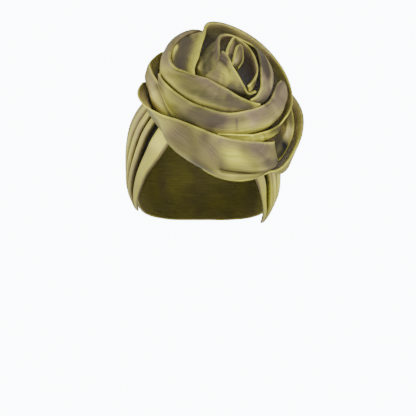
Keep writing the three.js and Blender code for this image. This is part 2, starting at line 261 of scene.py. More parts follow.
def shot_taffeta():
    """Taffeta with a gold-green warp and a mauve-brown weft, crisp and silky; its colour holds painted light and
    shade.
    """
    cloth = bpy.data.materials.new("shot_taffeta")
    cloth.use_nodes = True
    nodes, link = cloth.node_tree.nodes, cloth.node_tree.links.new
    shader = nodes["Principled BSDF"]
    shader.inputs["Metallic"].default_value = 0.6
    shader.inputs["Specular IOR Level"].default_value = 0.09
    shader.inputs["Anisotropic"].default_value = 0.35
    shader.inputs["Sheen Weight"].default_value = 0.032
    shader.inputs["Sheen Roughness"].default_value = 0.4
    shader.inputs["Sheen Tint"].default_value = SHEEN_TINT
    place = nodes.new("ShaderNodeUVMap")
    place.uv_map = "on_the_bolt"
    slub = nodes.new("ShaderNodeGroup")
    slub.node_tree = slub_group()
    weave = nodes.new("ShaderNodeGroup")
    weave.node_tree = weave_group()
    weave.inputs["Threads per metre"].default_value = THREADS_PER_METRE
    link(place.outputs["UV"], slub.inputs["Cloth"])
    link(place.outputs["UV"], weave.inputs["Cloth"])
    weft = nodes.new("ShaderNodeAttribute")
    weft.attribute_name = "weft"
    patches = nodes.new("ShaderNodeTexNoise")
    patches.inputs["Scale"].default_value = PATCHES_PER_METRE
    patches.inputs["Detail"].default_value = 4
    coords = nodes.new("ShaderNodeTexCoord")
    link(coords.outputs["Object"], patches.inputs["Vector"])
    lean = map_range(cloth.node_tree, patches.outputs["Fac"], 0.3, 0.7, -0.2, 0.2)
    share = nodes.new("ShaderNodeMath")
    share.use_clamp = True
    link(weft.outputs["Fac"], share.inputs[0])
    link(lean, share.inputs[1])
    shot = nodes.new("ShaderNodeMix")
    shot.data_type = "RGBA"
    shot.inputs["A"].default_value = WARP_GOLD
    shot.inputs["B"].default_value = WEFT_BROWN
    link(share.outputs[0], shot.inputs["Factor"])
    bright = map_range(cloth.node_tree, slub.outputs["Streak"], 0.3, 0.7, 0.68, 1.32)
    # The open attribute is painted light and shade: it scales the cloth colour up where light falls and down in
    # shade.
    painted_light = nodes.new("ShaderNodeAttribute")
    painted_light.attribute_name = "open"
    level = nodes.new("ShaderNodeMath")
    level.operation = "MULTIPLY"
    link(painted_light.outputs["Fac"], level.inputs[0])
    link(bright, level.inputs[1])
    tint = nodes.new("ShaderNodeVectorMath")
    tint.operation = "SCALE"
    link(shot.outputs["Result"], tint.inputs[0])
    link(level.outputs[0], tint.inputs["Scale"])
    # Painted shade: grey is added where the painted light is low and, with the deep attribute, deep in folds.
    painted_shade = map_range(cloth.node_tree, painted_light.outputs["Fac"], 0, 1, SHADE_GREY_WHERE_DARK, 0)
    painted_grey = nodes.new("ShaderNodeVectorMath")
    painted_grey.operation = "SCALE"
    painted_grey.inputs[0].default_value = PAINTED_SHADE_GREY
    deep = nodes.new("ShaderNodeAttribute")
    deep.attribute_name = "deep"
    painted_fold_grey = nodes.new("ShaderNodeMath")
    painted_fold_grey.operation = "MULTIPLY_ADD"
    painted_fold_grey.inputs[1].default_value = SHADE_GREY_IN_FOLDS
    link(deep.outputs["Fac"], painted_fold_grey.inputs[0])
    link(painted_shade, painted_fold_grey.inputs[2])
    link(painted_fold_grey.outputs[0], painted_grey.inputs["Scale"])
    colour = nodes.new("ShaderNodeVectorMath")
    link(tint.outputs[0], colour.inputs[0])
    link(painted_grey.outputs[0], colour.inputs[1])
    link(colour.outputs[0], shader.inputs["Base Color"])
    gloss = map_range(cloth.node_tree, slub.outputs["Streak"], 0, 1, 0.48, 0.66)
    link(gloss, shader.inputs["Roughness"])
    thread = nodes.new("ShaderNodeMath")
    thread.operation = "MULTIPLY_ADD"
    thread.inputs[1].default_value = 0.25
    link(weave.outputs["Height"], thread.inputs[0])
    link(slub.outputs["Streak"], thread.inputs[2])
    bump = nodes.new("ShaderNodeBump")
    bump.inputs["Strength"].default_value = 0.25
    bump.inputs["Distance"].default_value = 0.0004
    link(thread.outputs[0], bump.inputs["Height"])
    link(bump.outputs["Normal"], shader.inputs["Normal"])
    return cloth


taffeta = shot_taffeta()


def put_on(piece):
    """The piece takes the cloth, hangs from the root body and stands for its CAD solid, which it hides."""
    piece.data.materials.append(taffeta)
    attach(piece, "root")
    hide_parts(piece.name.removesuffix("_cloth"))


turns = np.arange(CAP_TURNS) * 360 / CAP_TURNS
away = np.where(turns > 180, 360 - turns, turns)
rim_lift = smooth_line([r[0] for r in CAP_RIM], [[r[1]] for r in CAP_RIM], away)[:, 0]
down = np.linspace(0.006, 1, CAP_ROWS)
lift = 90 - down[None] * (90 - rim_lift[:, None])
gathers = ripple(turns[:, None], 0 * down[None], 3, 17) + ripple(turns[:, None], 60 * down[None], 4, 31)
gathers *= ease(down, 0.08, 0.35) * (1 - 0.6 * ease(down, 0.8, 1))
cap_middle = over_hollow(aim_at(turns[:, None] + 0 * lift, lift), CAP_CLOTH / 2 + 0.22 * gathers)
cap_out = aim_at(turns[:, None] + 0 * lift, lift)
cap_half = np.full(lift.shape, CAP_CLOTH / 2) + 0.2 * ease(down, 0.94, 0.97)
cap_at = np.stack([away[:, None] * CAP_MM_PER_DEGREE + 0 * lift, CAP_DEEP * down[None] + 0 * lift], -1)
cap_weft = CAP_WEFT + 0.1 * gathers
# Its inside is painted darker: painted shade.
cap = cloth_wall(
    "cap_cloth", cap_middle, cap_out, cap_half, cap_half[:, -1], cap_at,
    shade_of(cap_weft, 1, 0), shade_of(cap_weft, CAP_INSIDE_PAINTED_LIGHT, 0), ring=True,
)
put_on(cap)

# The wraps: two long lengths of the same taffeta, pleated by hand and drawn up from low at the sides to the front.
# Each has a wide front band, one deep fold behind it and narrow pressed pleats. The left one crosses over the right.
WRAP_CLOTH = 1.2
WRAP_FROM_CAP = 3.0
WRAP_STEPS, WRAP_ACROSS = 150, 260
WRAP_LINES = [  # turn and lift of the front edge, of the deep fold and of the back edge, from the low tip upward
    (79, -36, 81.5, -35, 101, -31),
    (66, -31, 69, -29, 101, -19),
    (55, -24.4, 60, -20, 100, -8),
    (44.4, -15.5, 53, -10, 99, 8),
    (35.7, -6.4, 46.5, -1, 97, 24),
    (26.8, 2, 41, 8, 95, 40),
    (21.3, 8.9, 36, 17, 92, 54),
    (10, 22, 24, 33, 84, 68),
    (0, 32.6, 6, 46, 50, 80),
    (-10, 40, -12, 54, -50, 84),
]
WRAP_FOLDS = [  # place from the front edge (0) over the deep fold (1) to the back edge (2), and height over the cap
    (2, -0.4), (1.9, 0.3), (1.75, 1.8), (1.6, 2.8), (1.5, 3.6), (1.475, 3.2), (1.468, 2.2), (1.472, 1),
    (1.465, 0.5), (1.455, 0.8), (1.445, 1.8), (1.44, 2.6), (1.4, 3.6), (1.33, 4.4), (1.29, 4.5), (1.285, 3.8),
    (1.28, 2.4), (1.283, 1), (1.275, 0.5), (1.265, 0.8), (1.258, 2), (1.263, 3), (1.25, 3.9), (1.225, 4.8),
    (1.185, 5.2), (1.16, 4.8), (1.15, 3.4), (1.153, 1.6), (1.147, 0.2), (1.12, -0.2), (1.09, 0.4), (1.083, 2),
    (1.088, 3.4), (1.078, 4.6), (1.06, 5.4), (1.03, 5.6), (1.008, 5), (0.985, 3.8), (0.99, 2), (1, 0.6),
    (0.97, -0.4), (0.85, -0.5), (0.74, -0.2), (0.7, 1), (0.73, 2.4), (0.69, 3.4), (0.62, 3.9), (0.4, 3.6),
    (0.06, 2.5), (0, 1.7),
]
# Painted shade: between each pleat's top and its crease the cloth is painted darker and browner.
WRAP_SHADED_SLOPES = [  # places of a pleat's top and of its crease
    (1.055, 0.985), (1.19, 1.145), (1.315, 1.28), (1.505, 1.465),
]
WRAP_LONG, WRAP_BOLT_WIDE = 210, 62
WRAP_WEFT = 0.22


def wrap(name, side, cross_lift, roll, band_edge, fold_edge, tuck):
    """One wrap, on the left (side -1) or the right (side 1).

    Where the wraps cross it is lifted by cross_lift mm. The roll, in degrees, ties it lower down its side. The front
    band ends at band_edge and the deep fold starts at fold_edge, both as places. The tuck narrows the band low down.
    """
    along = np.linspace(0.025, 1, WRAP_STEPS)
    line = smooth_line(np.linspace(0, 1, len(WRAP_LINES)), WRAP_LINES, along)[:, None]
    folds = np.array(WRAP_FOLDS)
    folds[:, 0] = np.interp(folds[:, 0], [0, 0.76, 0.97, 2], [0, band_edge, fold_edge, 2])
    width = np.where(folds[:, 0] < 1, 20, 55)[:-1] * np.diff(folds[:, 0])
    knots = np.concatenate([[0], np.cumsum(np.hypot(width, np.diff(folds[:, 1])))])
    place, rise = smooth_line(knots, folds, np.linspace(0, knots[-1], WRAP_ACROSS)).T
    edge, fold, back = (aim_at(line[..., k], line[..., k + 1]) for k in (0, 2, 4))
    pinch = 1 + tuck * ease(along, 0.46, 0.22)
    front = edge + (fold - edge) * (np.clip(place, 0, 1)[None] ** pinch[:, None])[..., None]
    behind = fold + (back - fold) * np.clip(place - 1, 0, 1)[None, :, None]
    aim = np.where(place[None, :, None] < 1, front, behind)
    aim /= np.linalg.norm(aim, axis=-1, keepdims=True)
    aim[..., 0] *= side
    c, s = np.cos(np.radians(roll)), np.sin(np.radians(roll))
    aim = np.stack([c * aim[..., 0] + s * aim[..., 2], aim[..., 1], c * aim[..., 2] - s * aim[..., 0]], -1)
    crossing = ease(along, 0.68, 0.86)
    gathered = np.minimum(1, along * 3 + 0.25) * (1 - 0.7 * crossing)
    clear = WRAP_FROM_CAP + rise[None] * gathered[:, None] + cross_lift * crossing[:, None]
    clear = clear + 2 * (ease(along, 0.35, 0.55) * (1 - crossing))[:, None] * ease(place, 1.15, 1.4)[None]
    clear = clear + 0.25 * ripple(190 * along[:, None], 55 * place[None], 11 + side, 45) * gathered[:, None]
    middle = over_hollow(aim, clear)
    out = facing(middle)
    out *= np.sign((out * aim).sum(-1).mean())
    half = np.full(clear.shape, WRAP_CLOTH / 2)
    cloth_at = np.stack(np.broadcast_arrays(WRAP_LONG * along[:, None], WRAP_BOLT_WIDE * place[None]), -1)
    weft = WRAP_WEFT + 0.18 * ripple(190 * along[:, None], 70 * place[None], 21 + side, 60)
    # Painted light and shade on the wraps: pleat tops lighter, valleys darker, a lighter patch on the front band
    # below the crossing, darker and browner slopes and face edge, less of it where the wraps cross.
    shown = 1 - 0.7 * ease(along, 0.78, 0.9)[:, None]
    ridge = np.maximum(ease(rise, -0.6, 2.8), 0.8 * ease(place, 1.5, 1.7))
    ridge *= 1.15 + 0.32 * ease(place, 0.9, 1.05)
    lit = ridge[None] * shown + 1 - shown
    lit = lit + 0.45 * ease(along, 0.56, 0.66)[:, None] * ease(place, 0.85, 0.7)[None]
    painted_slope_shade = sum(ease(place, top, low) * (place > low - 0.03) for top, low in WRAP_SHADED_SLOPES)
    painted_slope_shade = painted_slope_shade + ease(place, 0.1, 0.04)
    lit = lit * (1 - 0.36 * painted_slope_shade * shown)
    weft = weft + 0.6 * painted_slope_shade[None]
    shade = shade_of(weft, lit, 0)
    piece = cloth_wall(name, middle, out, half, half[:, -1], cloth_at, shade, shade)
    put_on(piece)


wrap("wrap_left_cloth", -1, 3, 0, 0.72, 0.97, 0.6)
wrap("wrap_right_cloth", 1, 0, 10, 0.54, 0.8, 1.5)

# The rose's outer band on the right: a length of taffeta folded double, so that its rim is a soft rounded fold.
# It flares out round the right side, pleated at its foot and sewn to the wraps. A second fold shows inside.
ROSE_MIDDLE = np.array([12.4, -86.0, 58.0])
ROSE_OUT = np.array([0.2338, -0.8152, 0.5299])
ROSE_ACROSS = np.array([0.9613, 0.2756, 0.0])
ROSE_UP = np.array([-0.1461, 0.5094, 0.8480])
BAND_CLOTH = 1.3
FOOT_CLEAR = 9.5
BAND_UP = 64
# Painted light and shade on the bands: a paler, greener painted highlight along each rim, the painted light of the
# outer and inner sides and of that rim line, and its contrast.
RIM_HIGHLIGHT_SPAN = (2.8, 1.3)  # mm from the rim where the paler line along it starts and is full
RIM_HIGHLIGHT_LESS_WEFT, INSIDE_SHADE_MORE_WEFT = 0.35, 0.2
OUTER_PAINTED_LIGHT, INNER_PAINTED_LIGHT, RIM_PAINTED_HIGHLIGHT = 0.9, 0.45, 0.3
PAINTED_LIGHT_CONTRAST = 1.4
RIPPLE_PITCH = 55


def on_rose(turn, radius, height):
    """The point at a turn about the rose's axis, a distance from it and a height out along it."""
    t = np.radians(turn)[..., None]
    return (
        ROSE_MIDDLE
        + (radius[..., None] * np.cos(t)) * ROSE_ACROSS
        + (radius[..., None] * np.sin(t)) * ROSE_UP
        + height[..., None] * ROSE_OUT
    )


def foot_height(turn, radius):
    """How far out a band's foot is, just clear of the wraps."""
    inside, outside = np.full(turn.shape, -70.0), np.full(turn.shape, 40.0)
    for _ in range(24):
        height = (inside + outside) / 2
        aim = on_rose(turn, radius, height) - HOLLOW_MIDDLE
        skin = over_hollow(aim, np.full(turn.shape, FOOT_CLEAR)) - HOLLOW_MIDDLE
        above = np.linalg.norm(aim, axis=-1) > np.linalg.norm(skin, axis=-1)
        outside, inside = np.where(above, height, outside), np.where(above, inside, height)
    return outside


def bent_line(foot, belly, top, low, high, at):
    """Points at so many mm from the foot, on a smooth line over the belly to the top."""
    start, bend, finish = (belly - foot) / low, (top - foot) / (low + high), (top - belly) / high
    x, y = np.clip(at / low, 0, 1), np.clip((at - low) / high, 0, None)
    first = (
        (2 * x**3 - 3 * x**2 + 1) * foot + (x**3 - 2 * x**2 + x) * low * start
        + (3 * x**2 - 2 * x**3) * belly + (x**3 - x**2) * low * bend
    )
    second = (
        (2 * y**3 - 3 * y**2 + 1) * belly + (y**3 - 2 * y**2 + y) * high * bend
        + (3 * y**2 - 2 * y**3) * top + (y**3 - y**2) * high * finish
    )
    return np.where(at < low, first, second)


def band(
    name, rows, hem=0.8, folds=(), shades=(), inside=(), weft=0.48, seed=1, wave=0.3, step=0.9, foot_light=0.2,
):
    """A folded band. Each row is a section: turn, rim radius and height, belly radius and height, foot radius.

    A seventh number turns the rim away from the foot. The hem is half the rim's thickness, or rows of turn and that.
    A fold is a soft ridge or valley: turn and place up the band where it starts and where it ends, width and height
    in mm. A shade is such a stroke too, of painted light and shade: line, width, more or less of the weft, more or
    less painted light. Inside strokes paint light and shade on the band's inner side: line, width, more or less
    painted light. The weft is the share of it that shows, the seed and the wave are the draw and the height of the
    soft ripples, the step is the mm between sections, and the foot light is how much the painted shade at the foot
    is lifted.
    """
    rows = np.array(rows, float)
    rim_turn = np.radians(rows[:, 6] if rows.shape[1] > 6 else rows[:, 0])
    rim = np.stack([rows[:, 1] * np.cos(rim_turn), rows[:, 1] * np.sin(rim_turn), rows[:, 2]], -1)
    knots = np.concatenate([[0], np.cumsum(np.linalg.norm(np.diff(rim, axis=0), axis=1))])
    steps = int(knots[-1] / step)
    along = np.linspace(0, knots[-1], steps)
    turn, rim_r, rim_h, belly_r, belly_h, foot_r = smooth_line(knots, rows[:, :6], along).T
    foot = on_rose(turn, foot_r, foot_height(turn, foot_r))
    belly = on_rose(turn, belly_r, belly_h)
    top = on_rose(turn, rim_r, rim_h)
    if rows.shape[1] > 6:
        top = ROSE_MIDDLE + smooth_line(knots, rim, along) @ np.stack([ROSE_ACROSS, ROSE_UP, ROSE_OUT])
    low = np.linalg.norm(belly - foot, axis=1)
    high = np.linalg.norm(top - belly, axis=1)
    limit = low + high
    if not np.isscalar(hem):
        hem_turn, hem_half = zip(*sorted(hem))
        hem = np.interp(turn, hem_turn, hem_half)
    hem = np.full(steps, hem)
    up = 1 - (1 - np.linspace(0, 1, BAND_UP)) ** 1.25
    at = up[None] * (limit - hem)[:, None]
    middle = bent_line(
        foot[:, None], belly[:, None], top[:, None], low[:, None, None], high[:, None, None], at[..., None]
    )
    angle = np.repeat(turn[:, None], BAND_UP, 1)
    climb = np.broadcast_to(up[None], angle.shape)
    aside, upward = np.cos(np.radians(angle))[..., None], np.sin(np.radians(angle))[..., None]
    round_axis = aside * ROSE_ACROSS + upward * ROSE_UP
    radius = np.abs(((middle - ROSE_MIDDLE) * round_axis).sum(-1)).clip(8)
    out = facing(middle)
    out *= np.sign((out * (round_axis + 0.5 * ROSE_OUT)).sum(-1).mean())
    push = wave * ripple(along[:, None], at, seed, RIPPLE_PITCH) * ease(climb, 0.05, 0.4)
    mm_per_degree, depth = np.radians(1) * np.median(radius), np.median(limit)

    def stroke(turn_a, up_a, turn_b, up_b, width):
        """1 on a line over the band, fading to 0 over that width."""
        start = np.array([turn_a * mm_per_degree, up_a * depth])
        line = np.array([turn_b * mm_per_degree, up_b * depth]) - start
        here = np.stack([angle * mm_per_degree, climb * depth], -1) - start
        share = np.clip(here @ line / max(line @ line, 1e-9), 0, 1)
        return np.exp(-((np.linalg.norm(here - share[..., None] * line, axis=-1) / width) ** 2))

    rut = sum((fold[5] * stroke(*fold[:5]) for fold in folds), np.zeros(angle.shape))
    middle = middle + out * (push + rut)[..., None]
    out_now = facing(middle)
    out_now *= np.sign((out_now * out).sum(-1).mean())
    to_rim = limit[:, None] - at
    half = BAND_CLOTH / 2 + (hem[:, None] - BAND_CLOTH / 2) * ease(to_rim, 5 * hem[:, None], hem[:, None])
    # The paler line along the rim is a painted highlight: less weft and more painted light.
    edge = ease(to_rim, *RIM_HIGHLIGHT_SPAN)
    share = weft - RIM_HIGHLIGHT_LESS_WEFT * edge
    # Painted light and shade on the outer side: darker in fold valleys, lighter on ridges, then the shade strokes.
    outer_light = OUTER_PAINTED_LIGHT + 0.2 * np.clip(rut, -3.5, 1.2)
    # Painted shade on the inner side: darker low in the band; the inside strokes paint light and shade there.
    inner_light = INNER_PAINTED_LIGHT + (1 - INNER_PAINTED_LIGHT) * ease(climb, 0.5, 0.98)
    for shade in shades:
        patch = stroke(*shade[:5])
        share = share + shade[5] * patch
        outer_light = outer_light + shade[6] * patch
    for shade in inside:
        inner_light = inner_light + shade[5] * stroke(*shade[:5])
    # Painted shade at the foot: the outer side is darker and greyer low down, less so with more foot light.
    painted_shade = (1 - foot_light) * (1 - ease(climb, 0.05, 0.55))
    outer_light = np.clip(outer_light, 0.42, 2.2) ** PAINTED_LIGHT_CONTRAST
    outer_light = outer_light * (1 - painted_shade) + RIM_PAINTED_HIGHLIGHT * edge * np.clip(outer_light, 0, 1)
    inner_light = np.clip(inner_light, 0, 2.6)
    inner_light = inner_light + RIM_PAINTED_HIGHLIGHT * edge * np.clip(inner_light, 0, 1)
    cloth_at = np.stack([np.repeat(along[:, None], BAND_UP, 1), at], -1)
    # The inner side is browner and, low in the band, greyer: painted shade.
    return cloth_wall(
        name, middle, out_now, half, half[:, -1], cloth_at,
        shade_of(share, outer_light, 0.3 * painted_shade),
        shade_of(share + INSIDE_SHADE_MORE_WEFT, inner_light, 1 - ease(climb, 0.3, 0.9)),
    )


# Its shade and inside strokes paint light and shade into the cloth's colour.
outer_right = band("petal_outer_right_cloth", [
    (-108, 66, -10, 63, -8, 56),
    (-98, 76, -3, 73, 0, 57),
    (-88, 82.5, 1.5, 77.5, 3, 58),
    (-78, 84.5, 3, 79, 4, 58),
    (-63, 84.5, 5, 80, 4, 59),
    (-53, 86, 7, 88.5, -2, 60),
    (-40, 84.5, 12, 86, 0, 61),
    (-27, 83.4, 14, 80, 3, 62),
    (-8, 81, 14, 74, 3, 62),
    (8, 74, 14, 67, 4, 60),
    (28, 63, 11, 59, 4, 57),
], hem=[(-70, 0.9), (-45, 1.2), (-25, 2.4), (12, 2.6), (28, 1.8)], seed=5,
    folds=[
        (-20, 0.8, -25, 0.3, 5, -1.5), (0, 0.8, -5, 0.3, 5, -1.2), (-42, 0.7, -44, 0.3, 5, -1),
    ],
    shades=[
        (-95, 0.9, -62, 0.9, 6, -0.35, 0.1),
    ],
    inside=[
        (-50, 0.75, 15, 0.88, 14, 0.9),
    ])
put_on(outer_right)

# Its inside strokes paint light and shade into the cloth's colour.
right_tuck = band("petal_right_tuck_cloth", [
    (-49, 79, 1, 72, -1, 54),
    (-42, 78.5, 3, 69.5, 3, 54),
    (-34, 77.5, 6, 68, 6, 55),
    (-27, 77, 8, 68, 10, 56),
    (-15, 73.5, 12, 66, 11, 57),
    (-2, 69.5, 13, 64, 9, 57),
    (10, 65, 10, 60, 5, 55),
], seed=6,
    folds=[
        (-27, 0.9, -25, 0.4, 4, 1), (-8, 0.6, -8, 0.55, 3, -2),
    ],
    inside=[
        (-29, 0.8, -22, 0.7, 5, 1.0), (-31, 0.25, -26, 0.25, 7, 2.2), (-47, 0.9, -36, 0.92, 7, -0.55),
        (-36, 0.84, -33, 0.8, 3.5, -0.35), (-25, 0.68, -22, 0.62, 4, 1.3), (-44, 0.97, -38, 0.97, 4, -0.4),
        (-18, 0.96, -6, 0.94, 5, -0.6), (-21, 0.78, -21, 0.76, 1.4, -0.9),
    ])
put_on(right_tuck)

# The wide outer band across the front: the lowest petal, folded double, with its outer side turned out and down.
# Its taffeta is dented where it was tucked by hand, its foot is sewn to the wraps and its right end turns in.
# Its shade and inside strokes paint light and shade into the cloth's colour.
outer_front = band("petal_outer_front_cloth", [
    (142, 66, -6, 64, -9, 60),
    (151, 69, 0, 66.5, -4, 61),
    (160, 72, 9, 69, 2, 61),
    (168, 76.5, 18, 70.8, 9, 58),
    (179, 82, 22, 71.8, 13, 54.5),
    (190, 80, 26, 70.2, 15, 52),
    (202, 71, 30, 67, 13, 51),
    (215, 61, 32, 68.5, 9, 52),
    (235, 55, 34, 70, 8, 53),
    (250, 54.5, 34, 75, 9, 53),
    (262, 55, 33, 81.5, 10, 53),
    (275, 56.5, 32, 83, 12, 53),
    (290, 60, 30, 87, 15, 53),
    (301, 64.5, 27, 84, 15, 53),
    (308, 67, 24, 74, 9, 52),
    (312, 65.5, 19, 67, 4, 52),
], seed=7, weft=0.53, foot_light=0.75,
    folds=[
        (255, 0.88, 272, 0.74, 11, 1.6), (279, 0.88, 288, 0.74, 6, -0.8), (262, 0.63, 296, 0.6, 1.8, -3.5),
        (262, 0.69, 290, 0.67, 3, 0.8), (262, 0.53, 285, 0.5, 5, 2), (290, 0.9, 296, 0.8, 2, -0.3),
        (225, 0.95, 240, 0.7, 6, -0.8), (205, 0.95, 215, 0.6, 8, 0.8),
    ],
    shades=[
        (262, 0.86, 270, 0.8, 6, -0.4, 0.05), (270, 0.8, 284, 0.73, 7, -0.45, 0.02),
        (243, 0.92, 259, 0.75, 6, 0.25, -0.2), (258, 0.95, 300, 0.94, 4, 0.3, -0.15),
        (266, 0.645, 294, 0.635, 1.6, 0.1, -0.35), (294, 0.74, 302, 0.72, 4, 0.2, -0.35),
        (262, 0.9, 275, 0.9, 9, -0.15, -0.14), (244, 0.5, 262, 0.52, 6, 0.2, -0.25),
        (262, 0.7, 284, 0.7, 3.5, 0.1, -0.3), (290, 0.92, 296, 0.76, 8, 0.25, -0.08),
        (222, 0.85, 240, 0.72, 14, 0.2, -0.15), (200, 0.75, 225, 0.62, 12, 0.1, -0.08),
        (192, 0.9, 206, 0.78, 9, -0.3, 0.35), (246, 0.9, 258, 0.76, 8, 0.1, -0.18),
        (274, 0.55, 300, 0.57, 4, 0, -0.3), (262, 0.5, 280, 0.5, 5, -0.4, 0.2), (306, 0.9, 303, 0.7, 4, 0.1, -0.1),
        (218, 0.42, 238, 0.42, 6, -0.1, 0.25),
    ],
    inside=[
        (155, 0.6, 186, 0.68, 11, 2.2), (165, 0.96, 195, 0.96, 8, -0.2),
    ])
put_on(outer_front)

# The bands on the left and at the back, of the same taffeta folded double and sewn down to the wraps. One short band
# lies above the outer one on the left. One long band starts left of the heart, stands up behind it and comes round
# the right side to the front.
# Its shade and inside strokes paint light and shade into the cloth's colour.
left = band("petal_left_cloth", [
    (132, 69, 20, 67, 13, 57),
    (140, 70, 28, 69, 19, 56),
    (152, 73, 31.5, 72.5, 24, 55),
    (158, 74, 33, 75.3, 26, 54),
    (166, 69.6, 34, 75, 24, 51),
    (174, 63, 32, 70.5, 21.5, 50),
    (186, 59.2, 30, 66.5, 19, 49),
    (198, 57.6, 26.5, 62.5, 16, 48),
    (206, 57.6, 24, 61, 14, 48),
], seed=8,
    folds=[
        (160, 0.9, 166, 0.6, 4, -0.8), (180, 0.9, 184, 0.6, 4, 0.7),
    ],
    shades=[
        (168, 0.9, 172, 0.7, 7, 0.25, -0.1), (185, 0.93, 198, 0.9, 7, -0.3, 0.1),
        (176, 0.78, 200, 0.76, 7, 0, 0.35), (176, 0.98, 206, 0.98, 3, 0.2, -0.5),
    ],
    inside=[
        (132, 0.76, 165, 0.8, 14, 1.9),
    ])
put_on(left)

# Its shade and inside strokes paint light and shade into the cloth's colour.
back = band("petal_back_cloth", [
    (186, 27, 40, 41.5, 35, 17),
    (158, 32.4, 45, 53.8, 43.2, 24),
    (131, 36.2, 46, 61.2, 41.8, 36),
    (108, 51.2, 45, 63, 38.5, 49),
    (97, 70.8, 42, 65, 31, 52),
    (89, 73.6, 41, 63, 26, 53),
    (70, 71.2, 39, 62, 22, 53),
    (41, 68.8, 34, 60, 20, 52),
    (15, 69, 29, 60, 16, 50),
    (-10, 67, 28, 60, 14, 51),
    (-30, 62.5, 29, 58, 14, 50),
    (-63, 54.5, 32, 54, 16, 48),
    (-90, 51.5, 33.5, 53, 18, 48),
    (-106, 51, 31, 52, 17, 47),
], hem=[(-106, 0.8), (0, 0.9), (25, 1.5), (50, 2.3), (92, 2.3), (100, 1.6), (186, 1.5)], seed=9,
    folds=[
        (112, 0.91, 168, 0.91, 2.5, -0.8), (122, 0.8, 163, 0.84, 3, -1.4), (124, 0.75, 152, 0.7, 3, 1),
        (-68, 0.82, -38, 0.8, 7, 4.5), (-47, 0.58, -47, 0.5, 4, -4), (-70, 0.97, -70, 0.85, 1.5, 0.8),
        (-58, 0.95, -55, 0.8, 2, -0.8),
    ],
    shades=[
        (108, 0.97, 168, 0.97, 2.5, -0.45, 0.2), (112, 0.89, 168, 0.89, 3, 0.3, -0.1),
        (122, 0.81, 163, 0.845, 3.4, 0.25, -0.5), (138, 0.74, 154, 0.71, 2.2, -0.48, 1.2),
        (118, 0.77, 136, 0.78, 3, 0.2, -0.5), (-46, 0.93, -36, 0.9, 6, 0.2, -0.8),
        (146, 0.93, 164, 0.93, 3, 0.1, -0.2), (-96, 0.92, -76, 0.9, 6, -0.35, 0.62),
        (-92, 0.9, -78, 0.89, 4, 0, 0.4), (-72, 0.9, -54, 0.9, 9, -0.4, -0.05),
        (-56, 0.78, -46, 0.8, 7, -0.4, 0.45), (-53, 0.66, -51, 0.65, 2.5, 0, -0.7), (-34, 1, -26, 1, 3, -0.2, 0.35),
    ],
    inside=[
        (97, 0.9, 84, 0.9, 7, -0.45), (98, 0.8, 70, 0.82, 9, -0.2), (70, 0.84, 20, 0.84, 7, -0.5),
        (-30, 0.55, -20, 0.62, 6, 1.8), (68, 0.95, 42, 0.95, 4.5, 0.65), (-22, 0.96, -6, 0.98, 4, 0.7),
    ])
put_on(back)

# The two bands that lie like shingles across the front of the rose, each a folded length of the same cloth.
# The inner one also makes the rolled edge at the upper left. Both bend over the heart and are sewn down at the foot.
# Its shade and inside strokes paint light and shade into the cloth's colour.
middle_front = band("petal_middle_front_cloth", [
    (170, 64.5, 41, 64.5, 37, 48),
    (178, 62.3, 43.5, 64, 37, 47.5),
    (186, 58, 44.5, 62, 36, 46.5),
    (198, 51, 44.5, 60, 33, 44),
    (212, 44.5, 44, 57, 31, 42.5),
    (232, 38, 44, 52, 31, 42),
    (262, 34.9, 44, 48, 31, 42),
    (289, 34, 44.2, 48.5, 32, 42),
    (312, 36.6, 43, 53, 31, 42),
    (331, 41.4, 41.5, 57, 30, 43),
    (352, 45.8, 39.3, 61, 30, 44),
    (363, 50, 38, 62, 30, 44),
    (369, 56, 36.5, 61, 31, 43),
], seed=10, weft=0.52,
    folds=[
        (262, 0.8, 290, 0.8, 9, 1.2), (225, 0.95, 245, 0.75, 6, -1), (205, 0.8, 225, 0.7, 4, -0.8),
        (350, 0.95, 345, 0.7, 4, -0.8), (335, 0.97, 330, 0.75, 3, 0.6),
    ],
    shades=[
        (186, 0.95, 200, 0.8, 7, -0.2, -0.03), (179, 0.97, 184, 0.88, 4, 0.2, -0.15),
        (220, 0.87, 250, 0.84, 11, 0.25, -0.25), (196, 0.85, 206, 0.78, 6, -0.15, -0.06),
        (248, 0.87, 268, 0.84, 8, 0.15, -0.1), (356, 0.98, 369, 0.95, 4, 0.2, -0.4),
        (255, 0.66, 316, 0.66, 5, -0.35, 0.7), (268, 0.82, 283, 0.82, 9, -0.45, 0.0),
        (274, 0.9, 274, 0.75, 1.2, 0.3, -0.2), (300, 0.92, 362, 0.9, 12, 0.45, -0.05),
        (340, 0.92, 362, 0.9, 10, 0, 0.15), (304, 0.77, 330, 0.79, 6, -0.2, -0.15),
        (276, 0.8, 288, 0.82, 5, 0, -0.1), (325, 0.98, 338, 0.98, 3, 0.1, -0.4),
        (192, 0.98, 206, 0.98, 3, 0.1, -0.2), (236, 0.7, 250, 0.74, 4, 0, 0.35),
        (200, 0.9, 246, 0.92, 8, 0.15, -0.14), (224, 0.8, 285, 0.88, 7, 0.1, -0.18),
        (186, 0.75, 200, 0.64, 6, -0.25, 0.8), (258, 0.91, 282, 0.9, 4, 0.25, -0.2),
    ],
    inside=[
        (355, 0.3, 369, 0.35, 14, -0.4), (346, 0.85, 366, 0.85, 6, -0.35),
    ])
put_on(middle_front)

